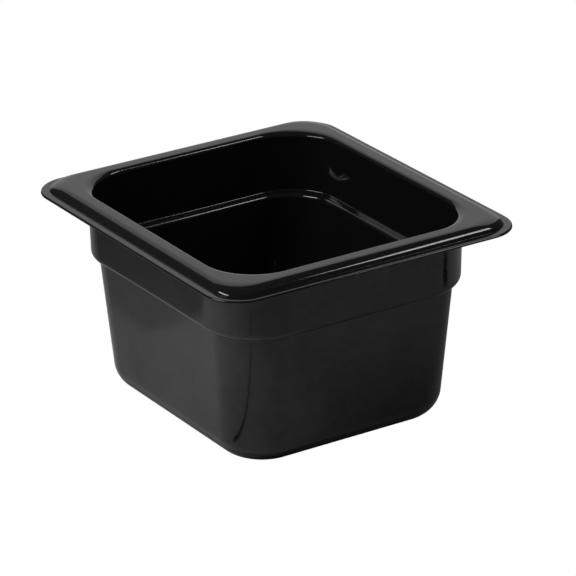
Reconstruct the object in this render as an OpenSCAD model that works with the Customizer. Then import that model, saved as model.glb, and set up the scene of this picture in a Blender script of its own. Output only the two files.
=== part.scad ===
// Food pan of the one-sixth gastronorm size, moulded in one piece.
// The long side lies along X and the short side along Y. The pan stands on its
// base at Z = 0 and the origin is the middle of the base.
//
// One section of the wall is drawn once, as a flat outline. Its first coordinate
// is the distance outward from a rectangle that joins the centres of the four
// corners, and its second is the height. The outline is turned through a quarter
// circle at each corner and run straight along each side, so the draft, the
// stacking step and the rounded base meet without a break.

/* [Rim] */
// Outside length of the rim
rim_length = 176; // [174:1:182]
// Outside width of the rim
rim_width = 162; // [159:1:168]
// Radius of the rim's outside corners in plan
rim_corner_r = 18; // [17:0.5:20]
// Width of the thin lip that stands out beyond the raised part of the rim
lip_width = 4; // [3.6:0.1:4.6]
// Thickness of the lip
lip_thickness = 1; // [0.9:0.1:1.6]
// Height of the rim's flat top above the lip
rim_rise = 3.6; // [3.6:0.1:4.2]
// Radius that rolls the rim's flat top down to the lip
rim_roll_r = 5.8; // [4:0.1:5.8]
// Slope of the face between the roll and the lip, from upright
riser_slope = 25; // [25:1:32]

/* [Mouth] */
// Length of the mouth where the rim's flat top starts to roll inward
mouth_length = 150.2; // [146:0.1:152]
// Width of the mouth where the rim's flat top starts to roll inward
mouth_width = 135.6; // [132:0.1:138]
// Radius of the mouth's corners in plan
mouth_corner_r = 31.2; // [28:0.1:34]
// Radius that rolls the rim's flat top down into the pan
mouth_roll_r = 2.2; // [1.8:0.1:3]

/* [Body] */
// Height from the base to the rim's flat top
pan_depth = 100; // [65:1:150]
// Thickness of the walls and the rim
wall = 2.5; // [2:0.1:2.7]
// Thickness of the floor
floor_thickness = 2.5; // [2:0.1:3.5]
// Slope of the walls below the stacking step, from upright
body_draft = 5.4; // [4:0.1:6.5]
// Slope of the walls above the stacking step, from upright
collar_draft = 1; // [0.5:0.1:2]
// Outside radius between the walls and the base
base_round_r = 12.5; // [8:0.5:16]

/* [Stacking step] */
// Depth of the outside step below the rim's flat top
step_depth = 34; // [28:1:40]
// How far the step stands out from the wall below it
step_width = 3.6; // [3:0.1:4.2]
// Rise of the step's underside across its width
step_rise = 1.5; // [1:0.1:2]
// Radius of the step's outside lower edge
step_edge_r = 4; // [2:0.1:5]
// Height of the inside ledge's edge above the outside step
ledge_lift = 3; // [2.4:0.1:4.2]
// Radius of the inside ledge's edge
ledge_edge_r = 1.2; // [0.6:0.1:1.6]

/* [Hidden] */
$fn = 96;

// Corner centres, for the body and for the rim's outside edge
corner_x = mouth_length / 2 - mouth_corner_r;
corner_y = mouth_width / 2 - mouth_corner_r;
rim_corner_x = rim_length / 2 - rim_corner_r;
rim_corner_y = rim_width / 2 - rim_corner_r;

// Heights
lip_top = pan_depth - rim_rise;
lip_bottom = lip_top - lip_thickness;
rim_roof = pan_depth - wall;
step_z = pan_depth - step_depth;
ledge_z = step_z + ledge_lift;

// Distances outward from the body's corner centres
throat_r = mouth_corner_r - mouth_roll_r;
collar_r = throat_r + wall;
collar_foot_r = collar_r - (rim_roof - step_z - step_rise) * tan(collar_draft);
body_top_r = collar_foot_r - step_width;
body_base_r = body_top_r - step_z * tan(body_draft);
collar_inside_r = throat_r - (rim_roof - ledge_z) * tan(collar_draft);
ledge_r = body_top_r + ledge_lift * tan(body_draft) - wall / cos(body_draft);
floor_r = ledge_r - (ledge_z - floor_thickness) * tan(body_draft);
ledge_back_z = ledge_z + step_rise * (collar_inside_r - ledge_r) / step_width;

// Distances outward from the rim's corner centres
riser_foot_r = rim_corner_r - lip_width;
riser_top_r = riser_foot_r - rim_rise * tan(riser_slope);
riser_back_foot_r = riser_foot_r + lip_thickness * tan(riser_slope) - wall / cos(riser_slope);
riser_back_top_r = riser_top_r + wall * tan(riser_slope) - wall / cos(riser_slope);

// The flat part of the rim, where the wall's corner centres give way to the rim's
land_width = 0.7;
mouth_land_r = max(collar_r, mouth_corner_r) + land_width;
rim_inner_r = rim_corner_r - 10.5;

// Small radii
lip_edge_r = 0.4;
riser_root_r = 0.2;
roof_edge_r = 3;
step_root_r = 0.8;
ledge_root_r = 3;

// Short upright stretch of the throat, between its roll and the inside of the collar
throat_length = 0.5;

// How far a cutting or filling piece runs beyond the corner and the arc that it makes,
// so that no two edges lie on each other
past_corner = 0.5;
crossing = 0.001;

function unit(v) = v / norm(v);
function half_angle(a, v, b) = acos(unit(a - v) * unit(b - v)) / 2;
function tangent_length(a, v, b, r) = r / tan(half_angle(a, v, b));
function round_centre(a, v, b, r) =
    v + unit(unit(a - v) + unit(b - v)) * r / sin(half_angle(a, v, b));

// The piece between the corner v of an outline and the arc that rounds it.
// Taken from an outward corner it rounds it, and added to an inward one it fills it.
module sliver(a, v, b, r) {
    reach = tangent_length(a, v, b, r);
    centre = round_centre(a, v, b, r);
    difference() {
        polygon([v + unit(a - v) * reach, v + unit(v - centre) * past_corner, v + unit(b - v) * reach]);
        translate(centre) circle(r = r + crossing);
    }
}

// Section of the floor, the wall, the stacking step and the mouth's inner edge
module wall_section() {
    base = [body_base_r, 0];
    step_root = [body_top_r, step_z];
    step_edge = [collar_foot_r, step_z + step_rise];
    collar_top = [collar_r, rim_roof];
    mouth_under = [mouth_land_r, rim_roof];
    mouth_top = [mouth_land_r, pan_depth];
    throat = [throat_r, pan_depth];
    throat_foot = [throat_r, pan_depth - mouth_roll_r - throat_length];
    ledge_back = [collar_inside_r, ledge_back_z];
    ledge_edge = [ledge_r, ledge_z];
    floor_edge = [floor_r, floor_thickness];
    difference() {
        union() {
            polygon([
                [0, 0], base, step_root, step_edge, collar_top, mouth_under, mouth_top,
                throat, throat_foot, ledge_back, ledge_edge, floor_edge, [0, floor_thickness]
            ]);
            sliver(base, step_root, step_edge, step_root_r);
            sliver(throat_foot, ledge_back, ledge_edge, ledge_root_r);
            sliver(ledge_edge, floor_edge, [0, floor_thickness], base_round_r - wall);
        }
        sliver([0, 0], base, step_root, base_round_r);
        sliver(step_root, step_edge, collar_top, step_edge_r);
        sliver(ledge_back, ledge_edge, floor_edge, ledge_edge_r);
        sliver(mouth_top, throat, throat_foot, mouth_roll_r);
    }
}

// Section of the rim's outside edge: the roll, the riser and the lip
module rim_section() {
    top = [riser_top_r, pan_depth];
    riser_foot = [riser_foot_r, lip_top];
    lip_upper = [rim_corner_r, lip_top];
    lip_lower = [rim_corner_r, lip_bottom];
    back_foot = [riser_back_foot_r, lip_bottom];
    back_top = [riser_back_top_r, rim_roof];
    flat_top = [rim_inner_r, pan_depth];
    flat_under = [rim_inner_r, rim_roof];
    difference() {
        union() {
            polygon([flat_top, top, riser_foot, lip_upper, lip_lower, back_foot, back_top, flat_under]);
            sliver(top, riser_foot, lip_upper, riser_root_r);
            sliver(back_foot, back_top, flat_under, roof_edge_r);
        }
        sliver(flat_top, top, riser_foot, rim_roll_r);
        sliver(riser_foot, lip_upper, lip_lower, lip_edge_r);
        sliver(lip_upper, lip_lower, back_foot, lip_edge_r);
    }
}

// Runs a section round a rectangle with corner centres at (+-x, +-y)
module run_round(x, y) {
    for (turn = [0, 1]) {
        rotate(180 * turn) {
            translate([x, y]) rotate_extrude(angle = 90) children();
            translate([-x, y]) rotate(90) rotate_extrude(angle = 90) children();
            translate([x, y]) rotate([90, 0, 0]) linear_extrude(2 * y) children();
            translate([-x, y]) rotate([90, 0, 90]) linear_extrude(2 * x) children();
        }
    }
}

// Rounded rectangle with corner centres at (+-x, +-y)
module round_rectangle(x, y, r) {
    square([2 * x, 2 * (y + r)], center = true);
    square([2 * (x + r), 2 * y], center = true);
    for (sx = [-1, 1], sy = [-1, 1]) {
        translate([sx * x, sy * y]) circle(r = r);
    }
}

module pan() {
    color([0.04, 0.04, 0.045]) union() {
        run_round(corner_x, corner_y) wall_section();
        translate([-corner_x, -corner_y, 0])
            cube([2 * corner_x, 2 * corner_y, floor_thickness]);
        translate([0, 0, rim_roof]) linear_extrude(wall) difference() {
            round_rectangle(rim_corner_x, rim_corner_y, rim_inner_r);
            round_rectangle(corner_x, corner_y, mouth_land_r);
        }
        run_round(rim_corner_x, rim_corner_y) rim_section();
    }
}

pan();
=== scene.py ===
"""Looks of the food pan: one moulded shell in glossy black plastic on a pale studio floor.

The shell is a closed mesh of rings, one ring for each point of the wall's section. A ring is
a rounded rectangle with its own size, corner radius and height, so the rim, the collar and
the body keep different corners, as a moulded pan has. Lengths of the shell are millimetres,
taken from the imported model's box or measured inward from it. Points are stored in metres.
"""
import math

import bmesh
import bpy
from mathutils import Matrix, Vector


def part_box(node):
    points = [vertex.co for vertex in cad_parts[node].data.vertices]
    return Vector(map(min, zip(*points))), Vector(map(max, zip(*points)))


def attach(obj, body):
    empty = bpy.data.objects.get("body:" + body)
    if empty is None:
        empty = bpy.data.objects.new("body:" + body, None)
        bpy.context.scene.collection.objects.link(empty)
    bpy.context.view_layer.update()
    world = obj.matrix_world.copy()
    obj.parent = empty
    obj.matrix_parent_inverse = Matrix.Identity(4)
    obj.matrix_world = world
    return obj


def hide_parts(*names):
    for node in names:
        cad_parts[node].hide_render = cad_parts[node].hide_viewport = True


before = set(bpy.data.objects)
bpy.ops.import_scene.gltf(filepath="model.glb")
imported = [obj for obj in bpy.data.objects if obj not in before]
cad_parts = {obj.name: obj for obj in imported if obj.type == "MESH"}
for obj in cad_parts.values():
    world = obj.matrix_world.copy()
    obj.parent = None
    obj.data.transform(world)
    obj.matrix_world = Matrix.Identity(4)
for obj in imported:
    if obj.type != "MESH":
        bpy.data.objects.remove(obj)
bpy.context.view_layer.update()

MM = 0.001
LOW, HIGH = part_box("pan")
HALF_X = (HIGH[0] - LOW[0]) / 2 / MM
HALF_Y = (HIGH[1] - LOW[1]) / 2 / MM
DEPTH = (HIGH[2] - LOW[2]) / MM

# Rim: a thin lip, a riser that slopes up from it and a roll over to the flat top
RIM_CORNER_R = 18.0
LIP_WIDTH = 4.0
LIP_THICKNESS = 1.1
LIP_EDGE_R = 0.85
LIP_UNDER_R = 0.2
LIP_ROOT_R = 0.2
RIM_RISE = 3.6
RIM_ROLL_R = 5.8
RISER_SLOPE = math.tan(math.radians(25))
ROOF_EDGE_R = 3.5
WALL = 2.5

# Mouth and collar
MOUTH_INSET = 13.0
MOUTH_CORNER_R = 29.8
MOUTH_ROLL_R = 2.3
COLLAR_DRAFT = math.tan(math.radians(1.4))
COLLAR_TOP_R = 0.8

# Stacking step outside, and the ledge that it makes inside
STEP_Z = DEPTH - 34.0
STEP_RISE = 1.5
STEP_ROOT_R = 0.5
STEP_EDGE_R = 3.8
LEDGE_Z = STEP_Z + 3.0
LEDGE_ROOT_R = 1.0
LEDGE_EDGE_R = 2.6

# Body
BASE_ROUND_R = 12.6
BODY_DRAFT = math.tan(math.radians(4.5))
BASE_HALF_X = HALF_X - 21.05
BASE_HALF_Y = HALF_Y - 22.05
BASE_CORNER_R = 23.4
CORNER_GROWTH = 1 / 3
FLOOR_THICKNESS = 2.5
WALL_BOW = -0.3

# Points along each part of a ring, and the rings that fill the flat base and floor
CORNER_STEPS = 20
SIDE_STEPS = 12
FLAT_MARGIN = 16.0
FLAT_SHARES = (0.75, 0.5, 0.25, 0.08)


# ---------------------------------------------------------------- the wall's section
def rim_ring(inset, z):
    """A ring that keeps the same distance from the rim's outside edge all round."""
    return (HALF_X - inset, HALF_Y - inset, RIM_CORNER_R - inset, z, 0.0)


def collar_ring(z, inward=0.0, bow=0.0):
    """A ring of the collar, between the rim and the stacking step."""
    inset = MOUTH_INSET + MOUTH_ROLL_R - WALL + inward + (DEPTH - WALL - z) * COLLAR_DRAFT
    return (HALF_X - inset, HALF_Y - inset, MOUTH_CORNER_R + MOUTH_INSET - inset, z, bow)


def body_ring(z, inward=0.0, bow=0.0):
    """A ring of the tapered body below the stacking step.

    The base's sizes hold where its rounding ends, so the ring grows from that height up.
    """
    grow = (z - BASE_ROUND_R) * BODY_DRAFT
    corner = BASE_CORNER_R + grow * CORNER_GROWTH - inward
    return (BASE_HALF_X + grow - inward, BASE_HALF_Y + grow - inward, corner, z, bow)


FIRST_RIM_CORNER = 5  # the entry of section() where the rim's channel turns down to the lip


def section():
    """The corners of the section, from under the base round the rim to the inside floor.

    Each entry is a ring, the radius that rounds it, the steps along that arc, and the steps
    along the straight stretch that follows.
    """
    roof_z = DEPTH - WALL
    lip_top = DEPTH - RIM_RISE
    lip_bottom = lip_top - LIP_THICKNESS
    riser_top = LIP_WIDTH + RIM_RISE * RISER_SLOPE
    riser_back = WALL * math.hypot(1, RISER_SLOPE)
    throat = MOUTH_INSET + MOUTH_ROLL_R
    mouth = (HALF_X - throat, HALF_Y - throat, MOUTH_CORNER_R - MOUTH_ROLL_R, DEPTH, 0.0)
    return [
        (body_ring(0.0, inward=FLAT_MARGIN), 0.0, 1, 1),
        (body_ring(0.0), BASE_ROUND_R, 16, 10),
        (body_ring(STEP_Z, bow=WALL_BOW), STEP_ROOT_R, 4, 1),
        (collar_ring(STEP_Z + STEP_RISE, bow=WALL_BOW), STEP_EDGE_R, 10, 6),
        (collar_ring(roof_z), COLLAR_TOP_R, 3, 1),
        (rim_ring(riser_top - WALL * RISER_SLOPE + riser_back, roof_z), ROOF_EDGE_R, 6, 1),
        (rim_ring(LIP_WIDTH - LIP_THICKNESS * RISER_SLOPE + riser_back, lip_bottom), LIP_ROOT_R, 2, 1),
        (rim_ring(0.0, lip_bottom), LIP_UNDER_R, 3, 1),
        (rim_ring(0.0, lip_top), LIP_EDGE_R, 6, 1),
        (rim_ring(LIP_WIDTH, lip_top), LIP_ROOT_R, 3, 1),
        (rim_ring(riser_top, DEPTH), RIM_ROLL_R, 14, 1),
        (mouth, MOUTH_ROLL_R, 10, 6),
        (collar_ring(LEDGE_Z + STEP_RISE, inward=WALL, bow=WALL_BOW), LEDGE_ROOT_R, 5, 1),
        (body_ring(LEDGE_Z, inward=WALL, bow=WALL_BOW), LEDGE_EDGE_R, 10, 10),
        (body_ring(FLOOR_THICKNESS, inward=WALL), BASE_ROUND_R - WALL, 14, 1),
        (body_ring(FLOOR_THICKNESS, inward=WALL + FLAT_MARGIN), 0.0, 1, 1),
    ]


def mix(a, b, t):
    """The tuple that lies a share t of the way from a to b."""
    return tuple(p + (q - p) * t for p, q in zip(a, b))


def rounded_corner(before, at, after, radius, steps):
    """Rings along the arc that rounds the corner at, between its two neighbours.

    The arc is found in the plane of size and height. Each of its points is written as a share
    of the way to each neighbour, so the corner radius and the bow are carried along with it.
    """
    a = Vector((before[0] - at[0], before[3] - at[3]))
    b = Vector((after[0] - at[0], after[3] - at[3]))
    half = a.angle(b) / 2
    ua, ub = a.normalized(), b.normalized()
    reach = radius / math.tan(half)
    centre = (ua + ub).normalized() * radius / math.sin(half)
    first, last = ua * reach - centre, ub * reach - centre
    sweep = math.pi - 2 * half
    flat = a.x * b.y - a.y * b.x
    rings = []
    for i in range(steps + 1):
        t = i / steps
        point = centre + (first * math.sin((1 - t) * sweep) + last * math.sin(t * sweep)) / math.sin(sweep)
        share_a = (point.x * b.y - point.y * b.x) / flat
        share_b = (a.x * point.y - a.y * point.x) / flat
        rings.append(
            tuple(v + share_a * (p - v) + share_b * (q - v) for p, v, q in zip(before, at, after))
        )
    return rings


def section_rings():
    """All rings of the shell in order, and the number of rings before each section corner's arc."""
    corners = section()
    rings, starts = [], []
    for i, (at, radius, steps, run) in enumerate(corners):
        starts.append(len(rings))
        if radius:
            arc = rounded_corner(corners[i - 1][0], at, corners[i + 1][0], radius, steps)
        else:
            arc = [at]
        if rings and corners[i - 1][3] > 1:
            last = rings[-1]
            spread = corners[i - 1][3]
            rings += [mix(last, arc[0], k / spread) for k in range(1, spread)]
        rings += arc
    return rings, starts


# ---------------------------------------------------------------- the shell's mesh
def ring_points(half_x, half_y, corner_r, z, bow):
    """Points of a rounded rectangle, from the +X side's end round to that side again.

    Bow pushes the middle of each side outward, and fades to nothing at the corners.
    """
    points = []
    for quarter in range(4):
        turn = quarter * math.pi / 2
        sx = 1 if quarter in (0, 3) else -1
        sy = 1 if quarter in (0, 1) else -1
        cx, cy = sx * (half_x - corner_r), sy * (half_y - corner_r)
        for i in range(CORNER_STEPS + 1):
            angle = turn + math.pi / 2 * i / CORNER_STEPS
            points.append((cx + corner_r * math.cos(angle), cy + corner_r * math.sin(angle), z))
        out = Vector((math.cos(turn + math.pi / 2), math.sin(turn + math.pi / 2)))
        along = Vector((-out.y, out.x))
        length = 2 * ((half_x if quarter % 2 == 0 else half_y) - corner_r)
        start = Vector((points[-1][0], points[-1][1]))
        for i in range(1, SIDE_STEPS):
            t = i / SIDE_STEPS
            push = bow * (1 - math.cos(2 * math.pi * t)) / 2
            p = start + along * length * t + out * push
            points.append((p.x, p.y, z))
    return points


def build_shell():
    """The whole pan as one closed mesh. Slot 0 is the gloss finish and slot 1 the satin one."""
    rings, starts = section_rings()
    mesh = bpy.data.meshes.new("pan_shell")
    bm = bmesh.new()
    loops = [[bm.verts.new(Vector(p) * MM) for p in ring_points(*ring)] for ring in rings]
    count = len(loops[0])
    gloss_from = starts[FIRST_RIM_CORNER]
    for k in range(len(loops) - 1):
        for i in range(count):
            j = (i + 1) % count
            face = bm.faces.new((loops[k][i], loops[k][j], loops[k + 1][j], loops[k + 1][i]))
            face.material_index = 1 if k < gloss_from else 0
            face.smooth = True
    for loop, slot in ((loops[0], 1), (loops[-1], 0)):
        close_flat(bm, loop, slot)
    bmesh.ops.recalc_face_normals(bm, faces=bm.faces)
    bm.to_mesh(mesh)
    bm.free()
    shell = bpy.data.objects.new("pan_shell", mesh)
    bpy.context.scene.collection.objects.link(shell)
    return shell


def close_flat(bm, loop, slot):
    """Fills a flat ring with smaller rings and a fan round the middle."""
    z = loop[0].co.z
    inner = loop
    for share in FLAT_SHARES:
        smaller = [bm.verts.new((v.co.x * share, v.co.y * share, z)) for v in loop]
        for i in range(len(loop)):
            j = (i + 1) % len(loop)
            face = bm.faces.new((inner[i], inner[j], smaller[j], smaller[i]))
            face.material_index = slot
            face.smooth = True
        inner = smaller
    middle = bm.verts.new((0, 0, z))
    for i in range(len(loop)):
        face = bm.faces.new((inner[i], inner[(i + 1) % len(loop)], middle))
        face.material_index = slot
        face.smooth = True


def weigh_normals(mesh):
    """Vertex normals weighted by face area, so a flat face next to a small arc stays flat."""
    normals = [Vector((0, 0, 0)) for _ in mesh.vertices]
    for polygon in mesh.polygons:
        pull = polygon.normal * polygon.area
        for index in polygon.vertices:
            normals[index] += pull
    mesh.normals_split_custom_set_from_vertices([n.normalized() for n in normals])


# ---------------------------------------------------------------- materials
class Nodes:
    """Short way to add and join shader nodes."""

    def __init__(self, tree):
        self.tree = tree
        tree.nodes.clear()

    def add(self, kind, inputs=None, **settings):
        node = self.tree.nodes.new(kind)
        for key, value in settings.items():
            setattr(node, key, value)
        for key, value in (inputs or {}).items():
            if isinstance(value, bpy.types.NodeSocket):
                self.tree.links.new(value, node.inputs[key])
            else:
                node.inputs[key].default_value = value
        return node

    def ramp(self, value, low, high, to_low, to_high):
        """Maps low..high onto to_low..to_high, and holds the ends."""
        sizes = {"From Min": low, "From Max": high, "To Min": to_low, "To Max": to_high}
        return self.add("ShaderNodeMapRange", {"Value": value, **sizes}).outputs[0]


SCRATCH_ROUGH = 0.12
SCRATCH_CUT = 0.4
PEEL_HEIGHT = 0.0002


def along(n, place, tilt, turn, stretch):
    """Coordinates that draw a texture out along one slanted direction.

    The direction leans tilt degrees from upright, towards the bearing turn.
    """
    return n.add(
        "ShaderNodeMapping",
        {
            "Vector": place,
            "Rotation": (0, math.radians(tilt), math.radians(turn)),
            "Scale": (1, 1, stretch),
        },
        vector_type="TEXTURE",
    ).outputs[0]


def black_plastic(name, plastic_grey_and_painted_light, rough_low, rough_high, film, grain):
    """Moulded black plastic: uneven gloss, a thin wiped film, a faint orange peel and scratches.

    The gloss and the film vary in soft clouds and in slanted streaks left by wiping. The
    scratches are thin slanted lines, and they are both cut in and duller than the rest.
    The first number is the base grey: the plastic's own on the satin finish, and on the gloss finish
    raised above it as painted light for the shaded inside. Film is how far the specular level swings
    either way, and grain is the strength of the bump. Texture scales are repeats per metre.
    """
    material = bpy.data.materials.new(name)
    material.use_nodes = True
    n = Nodes(material.node_tree)
    place = n.add("ShaderNodeTexCoord").outputs["Object"]
    slant = along(n, place, 107, -27, 4)
    fine_slant = along(n, place, 62, 70, 40)
    cloud = n.add("ShaderNodeTexNoise", {"Vector": place, "Scale": 55.0, "Detail": 5.0})
    streak = n.add("ShaderNodeTexNoise", {"Vector": slant, "Scale": 240.0, "Detail": 5.0})
    wiped = n.add(
        "ShaderNodeMix",
        {"Factor": 0.45, "A": cloud.outputs["Fac"], "B": streak.outputs["Fac"]},
        data_type="FLOAT",
    )
    line = n.add("ShaderNodeTexNoise", {"Vector": fine_slant, "Scale": 900.0, "Detail": 1.0})
    scratch = n.ramp(line.outputs["Fac"], 0.70, 0.73, 0.0, 1.0)
    worn = n.ramp(wiped.outputs[0], 0.35, 0.65, 0.0, 1.0)
    gloss = n.ramp(worn, 0.0, 1.0, rough_low, rough_high)
    rough = n.add("ShaderNodeMath", {0: scratch, 1: SCRATCH_ROUGH, 2: gloss}, operation="MULTIPLY_ADD")
    peel = n.add("ShaderNodeTexNoise", {"Vector": place, "Scale": 420.0, "Detail": 2.0})
    cut = n.add(
        "ShaderNodeMath",
        {0: scratch, 1: -SCRATCH_CUT, 2: peel.outputs["Fac"]},
        operation="MULTIPLY_ADD",
    )
    bump = n.add(
        "ShaderNodeBump", {"Height": cut.outputs[0], "Strength": grain, "Distance": PEEL_HEIGHT}
    )
    surface = n.add(
        "ShaderNodeBsdfPrincipled",
        {
            "Base Color": (plastic_grey_and_painted_light, plastic_grey_and_painted_light, plastic_grey_and_painted_light, 1.0),
            "Roughness": rough.outputs[0],
            "IOR": 1.5,
            "Specular IOR Level": n.ramp(worn, 0.0, 1.0, 0.5 - film, 0.5 + film),
            "Normal": bump.outputs["Normal"],
        },
    )
    n.add("ShaderNodeOutputMaterial", {"Surface": surface.outputs[0]})
    return material


# ---------------------------------------------------------------- stage, lights and camera
# Lengths from here on are metres, apart from the lens, which is in millimetres.
VIEW_AZIMUTH = math.radians(57.32)
VIEW_ELEVATION = math.radians(23.14)
VIEW_ROLL = math.radians(-0.79)
VIEW_DISTANCE = 1.79106
LENS = 240.25
AIM_HEIGHT = 0.55 * DEPTH * MM
AIM_RIGHT = 0.00616
AIM_UP = 0.00018

ROOM = 0.065
BEHIND = math.degrees(VIEW_AZIMUTH) + 90
FLOOR_RADIUS = 4.0
FLOOR_GREY = 0.8
FLOOR_GAP = 0.0002
CARD_LIFT = 0.0004

BACKWARD = Vector(
    (
        math.sin(VIEW_AZIMUTH) * math.cos(VIEW_ELEVATION),
        -math.cos(VIEW_AZIMUTH) * math.cos(VIEW_ELEVATION),
        math.sin(VIEW_ELEVATION),
    )
)
RIGHT = Vector((math.cos(VIEW_AZIMUTH), math.sin(VIEW_AZIMUTH), 0))
UP = BACKWARD.cross(RIGHT)


def add_camera():
    """The camera looks at a point near the middle of the pan, rolled a little to one side."""
    camera = bpy.data.objects.new("camera", bpy.data.cameras.new("camera"))
    bpy.context.scene.collection.objects.link(camera)
    camera.data.lens = LENS
    camera.data.sensor_width = 36
    camera.data.clip_end = 20
    aim = Vector((0, 0, AIM_HEIGHT)) + RIGHT * AIM_RIGHT + UP * AIM_UP
    right = RIGHT * math.cos(VIEW_ROLL) + UP * math.sin(VIEW_ROLL)
    up = UP * math.cos(VIEW_ROLL) - RIGHT * math.sin(VIEW_ROLL)
    turn = Matrix((right, up, BACKWARD)).transposed()
    camera.matrix_world = Matrix.Translation(aim + BACKWARD * VIEW_DISTANCE) @ turn.to_4x4()
    bpy.context.scene.camera = camera


def white_to_camera(n, seen, otherwise, output):
    """Joins two shaders so that the camera sees the first and every other ray the second."""
    ray = n.add("ShaderNodeLightPath")
    look = n.add(
        "ShaderNodeMixShader",
        {0: ray.outputs["Is Camera Ray"], 1: otherwise.outputs[0], 2: seen.outputs[0]},
    )
    n.add(output, {"Surface": look.outputs[0]})


def add_floor():
    """A pale floor. The camera sees it evenly white; the pan reflects it as it is lit."""
    mesh = bpy.data.meshes.new("floor")
    bm = bmesh.new()
    bmesh.ops.create_circle(bm, cap_ends=True, segments=96, radius=FLOOR_RADIUS)
    bm.to_mesh(mesh)
    bm.free()
    floor = bpy.data.objects.new("floor", mesh)
    bpy.context.scene.collection.objects.link(floor)
    floor.location.z = -FLOOR_GAP
    material = bpy.data.materials.new("pale_floor")
    material.use_nodes = True
    n = Nodes(material.node_tree)
    paper = n.add("ShaderNodeBsdfDiffuse", {"Color": (FLOOR_GREY, FLOOR_GREY, FLOOR_GREY, 1)})
    white = n.add("ShaderNodeEmission", {"Color": (1, 1, 1, 1), "Strength": 1.0})
    white_to_camera(n, white, paper, "ShaderNodeOutputMaterial")
    mesh.materials.append(material)


def add_world():
    """A dim room round the lights, and white where the camera looks past the floor."""
    world = bpy.data.worlds.new("studio")
    bpy.context.scene.world = world
    world.use_nodes = True
    n = Nodes(world.node_tree)
    room = n.add("ShaderNodeBackground", {"Color": (ROOM, ROOM, ROOM, 1), "Strength": 1.0})
    white = n.add("ShaderNodeBackground", {"Color": (1, 1, 1, 1), "Strength": 1.0})
    white_to_camera(n, white, room, "ShaderNodeOutputWorld")


def add_softbox(name, azimuth, elevation, distance, width, height, radiance, aim=(0, 0, 0.055)):
    """A soft light at a bearing from its aim, in degrees. Azimuth 0 is +X and 90 is +Y."""
    a, e = math.radians(azimuth), math.radians(elevation)
    toward = Vector((math.cos(a) * math.cos(e), math.sin(a) * math.cos(e), math.sin(e)))
    light = bpy.data.lights.new(name, "AREA")
    light.shape = "RECTANGLE"
    light.size = width
    light.size_y = height
    light.energy = radiance * math.pi * width * height
    lamp = bpy.data.objects.new(name, light)
    bpy.context.scene.collection.objects.link(lamp)
    lamp.location = Vector(aim) + toward * distance
    lamp.rotation_euler = toward.to_track_quat("Z", "Y").to_euler()
    lamp.visible_camera = False
    return lamp


def add_card(name, points, grey, lift=CARD_LIFT):
    """A flat card just above the floor that shows only in the pan's reflections."""
    up = Vector((0, 0, lift))
    mesh = bpy.data.meshes.new(name)
    mesh.from_pydata([Vector(p) + up for p in points], [], [tuple(range(len(points)))])
    card = bpy.data.objects.new(name, mesh)
    bpy.context.scene.collection.objects.link(card)
    card.visible_camera = False
    material = bpy.data.materials.new(name)
    material.use_nodes = True
    n = Nodes(material.node_tree)
    paper = n.add("ShaderNodeBsdfDiffuse", {"Color": (grey, grey, grey, 1)})
    n.add("ShaderNodeOutputMaterial", {"Surface": paper.outputs[0]})
    mesh.materials.append(material)


def strip(start, end, width):
    """The corners of a strip of the floor from start to end."""
    a, b = Vector((*start, 0)), Vector((*end, 0))
    side = (b - a).normalized().cross(Vector((0, 0, 1))) * width / 2
    return [a - side, b - side, b + side, a + side]


def add_cards():
    """What the outside reflects from the floor: a thin dark line, a dark card, a pale and a grey card that
    paint a soft shadow on the left, and a card that paints the contact shadow under the base.
    """
    # A thin dark line on the floor, running out from the front corner, that the outside reflects.
    add_card("floor_dark_line", strip((0.048, -0.074), (0.190, -0.170), 0.003), 0.01)
    # Two cards paint a soft shadow into the floor on the left, a pale one under a darker one, and the
    # outside reflects it.
    add_card("pale_painted_shadow", strip((-0.300, -0.200), (-0.084, -0.200), 0.200), 0.56)
    add_card("grey_painted_shadow", strip((-0.300, -0.215), (-0.095, -0.215), 0.160), 0.32, lift=1.5 * CARD_LIFT)
    add_card("dark_card", strip((0.140, 0.180), (0.178, 0.232), 0.034), 0.06)
    shade = ring_points(BASE_HALF_X, BASE_HALF_Y, BASE_CORNER_R, 0, 0)
    add_card("contact_shade", [Vector(p) * MM for p in shade], 0.4)


def add_lights():
    """A white wall of light behind the pan, a softbox on each side, a key light and a pool.

    The wall shows only in reflections. The key light and the pool show in none: they light the
    floor, which the pan reflects.
    """
    wall = add_softbox("back_wall", BEHIND + 4, 20, 0.85, 1.0, 1.0, 0.61)
    wall.visible_diffuse = False
    add_softbox("right_softbox", 55, 46, 0.9, 0.30, 0.11, 9.0)
    add_softbox("left_softbox", 262, 44, 0.9, 0.52, 0.15, 10.3)
    key = add_softbox("key", 243, 48, 1.0, 0.40, 0.40, 0.32, aim=(0.16, -0.10, 0))
    key.data.spread = math.radians(70)
    pool = add_softbox("pool", 250, 80, 0.9, 0.06, 0.06, 8.0, aim=(-0.01, -0.20, 0))
    pool.data.spread = math.radians(28)
    for lamp in (key, pool):
        lamp.visible_glossy = False


bpy.context.scene.view_settings.view_transform = "Standard"
bpy.context.scene.view_settings.look = "None"

add_camera()
add_floor()
add_world()
add_lights()
add_cards()

shell = build_shell()
# The gloss finish's grey is lighter than the satin's: painted light that brightens the shaded inside and,
# with it, the rim.
shell.data.materials.append(black_plastic("gloss_black_painted_light", 0.0095, 0.06, 0.10, 0.03, 0.08))
shell.data.materials.append(black_plastic("satin_black", 0.0045, 0.09, 0.15, 0.07, 0.12))
weigh_normals(shell.data)
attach(shell, "root")
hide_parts("pan")
